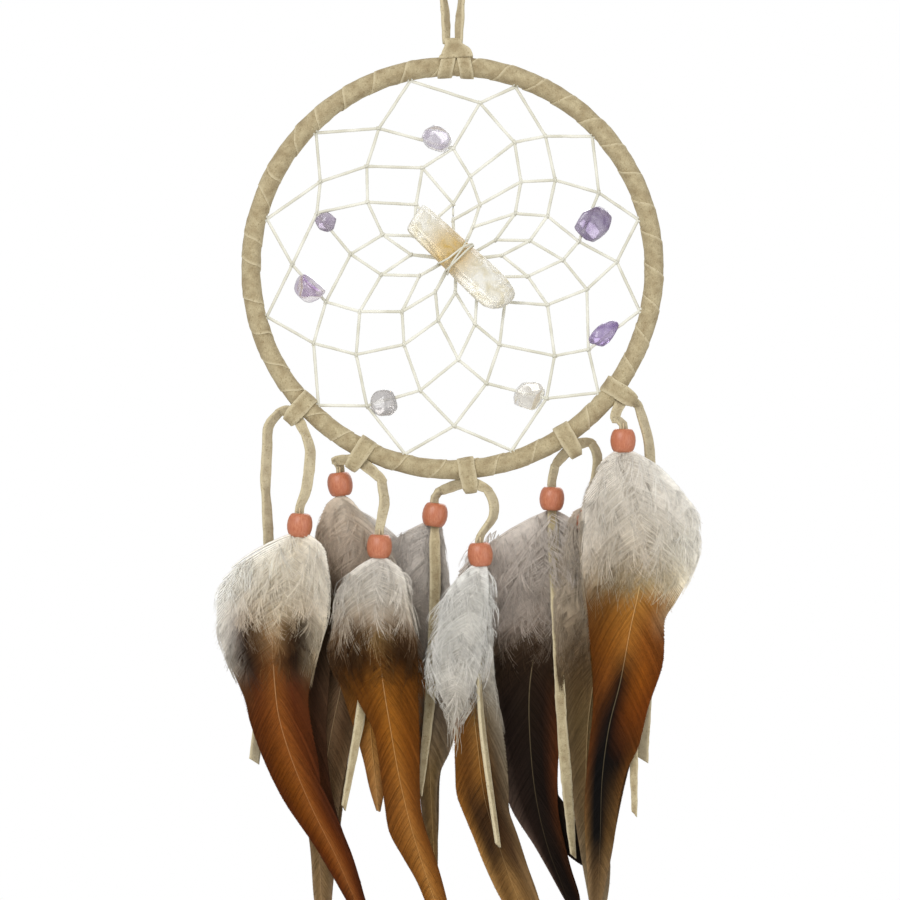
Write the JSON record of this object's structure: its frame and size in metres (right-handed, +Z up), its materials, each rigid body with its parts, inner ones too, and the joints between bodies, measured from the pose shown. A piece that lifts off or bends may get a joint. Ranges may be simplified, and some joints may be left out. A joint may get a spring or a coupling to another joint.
{
  "type": "dream catcher",
  "caption": "Suede-wrapped hoop with a sinew web, stone chips and a crystal point, hung by a lace loop, with laces, wooden beads and feathers below.",
  "frame": {"origin": "the hanging point: the top of the inside of the lace loop, in the plane of the hoop", "axes": "+X to the viewer's right across the hoop, +Y away from the viewer, +Z up"},
  "size_m": [0.1485, 0.02, 0.3127],
  "materials": {
    "steel_wire": "plain drawn wire",
    "hoop_suede": "napped suede, wound edge to edge",
    "lace_suede": "flat suede lace",
    "sinew": "waxed thread",
    "crystal": "polished, milky",
    "amethyst": "tumbled and polished",
    "bead_wood": "stained, satin",
    "feather": "feather barbs"
  },
  "bodies": {
    "hanger": {"hanging_loop": "lace_suede", "hanger_knot": "lace_suede"},
    "hoop": {"hoop_ring": "steel_wire", "hoop_wrap": "hoop_suede", "sinew_web": "sinew", "crystal_point": "crystal", "crystal_tie": "sinew", "stone_chip_1": "amethyst", "stone_chip_2": "amethyst", "stone_chip_3": "amethyst", "stone_chip_4": "amethyst", "stone_chip_5": "amethyst", "stone_chip_6": "amethyst", "stone_chip_7": "amethyst", "knot_1": "lace_suede", "knot_2": "lace_suede", "knot_3": "lace_suede", "knot_4": "lace_suede", "knot_5": "lace_suede"},
    "tail_left": {"lace_1_left": "lace_suede"},
    "tail_right": {"lace_5_right": "lace_suede"},
    "tassel_1": {"lace_1_right": "lace_suede", "bead_1": "bead_wood", "feather_1_front": "feather", "feather_1_back": "feather"},
    "tassel_2": {"lace_2_left": "lace_suede", "bead_2": "bead_wood", "feather_2_front": "feather", "feather_2_back": "feather"},
    "tassel_3": {"lace_2_right": "lace_suede", "bead_3": "bead_wood", "feather_3_front": "feather", "feather_3_back": "feather"},
    "tassel_4": {"lace_3_left": "lace_suede", "bead_4": "bead_wood", "feather_4_front": "feather", "feather_4_back": "feather"},
    "tassel_5": {"lace_3_right": "lace_suede", "bead_5": "bead_wood", "feather_5_front": "feather", "feather_5_back": "feather"},
    "tassel_6": {"lace_4_left": "lace_suede", "bead_6": "bead_wood", "feather_6_front": "feather", "feather_6_back": "feather"},
    "tassel_7": {"lace_5_left": "lace_suede", "bead_7": "bead_wood", "feather_7_front": "feather", "feather_7_back": "feather"},
    "tassel_8": {"lace_4_right": "lace_suede", "bead_8": "bead_wood", "feather_8_front": "feather", "feather_8_back": "feather"}
  },
  "joints": [
    {"name": "hoop_swing", "type": "hinge", "parent": "hanger", "child": "hoop", "pos_m": [0, 0, -0.0346], "axis": [1, 0, 0], "range_deg": [-60, 60]},
    {"name": "tail_left_swing", "type": "hinge", "parent": "hoop", "child": "tail_left", "pos_m": [-0.0535, 0.00105, -0.1415], "axis": [1, 0, 0], "range_deg": [0, 75]},
    {"name": "tassel_1_swing", "type": "hinge", "parent": "hoop", "child": "tassel_1", "pos_m": [-0.0455, -0.00308, -0.148], "axis": [1, 0, 0], "range_deg": [-75, 0]},
    {"name": "tassel_2_swing", "type": "hinge", "parent": "hoop", "child": "tassel_2", "pos_m": [-0.0365, 0.00308, -0.1565], "axis": [1, 0, 0], "range_deg": [0, 75]},
    {"name": "tassel_3_swing", "type": "hinge", "parent": "hoop", "child": "tassel_3", "pos_m": [-0.022, -0.00308, -0.1623], "axis": [1, 0, 0], "range_deg": [-75, 0]},
    {"name": "tassel_4_swing", "type": "hinge", "parent": "hoop", "child": "tassel_4", "pos_m": [-0.0035, 0.00308, -0.166], "axis": [1, 0, 0], "range_deg": [0, 75]},
    {"name": "tassel_5_swing", "type": "hinge", "parent": "hoop", "child": "tassel_5", "pos_m": [0.0105, -0.00308, -0.1653], "axis": [1, 0, 0], "range_deg": [-75, 0]},
    {"name": "tassel_6_swing", "type": "hinge", "parent": "hoop", "child": "tassel_6", "pos_m": [0.032, 0.00308, -0.1579], "axis": [1, 0, 0], "range_deg": [0, 75]},
    {"name": "tassel_7_swing", "type": "hinge", "parent": "hoop", "child": "tassel_7", "pos_m": [0.05, -0.00308, -0.1435], "axis": [1, 0, 0], "range_deg": [-75, 0]},
    {"name": "tassel_8_swing", "type": "hinge", "parent": "hoop", "child": "tassel_8", "pos_m": [0.043, 0.00308, -0.151], "axis": [1, 0, 0], "range_deg": [0, 75]},
    {"name": "tail_right_swing", "type": "hinge", "parent": "hoop", "child": "tail_right", "pos_m": [0.0575, 0.00105, -0.1395], "axis": [1, 0, 0], "range_deg": [0, 75]}
  ]
}
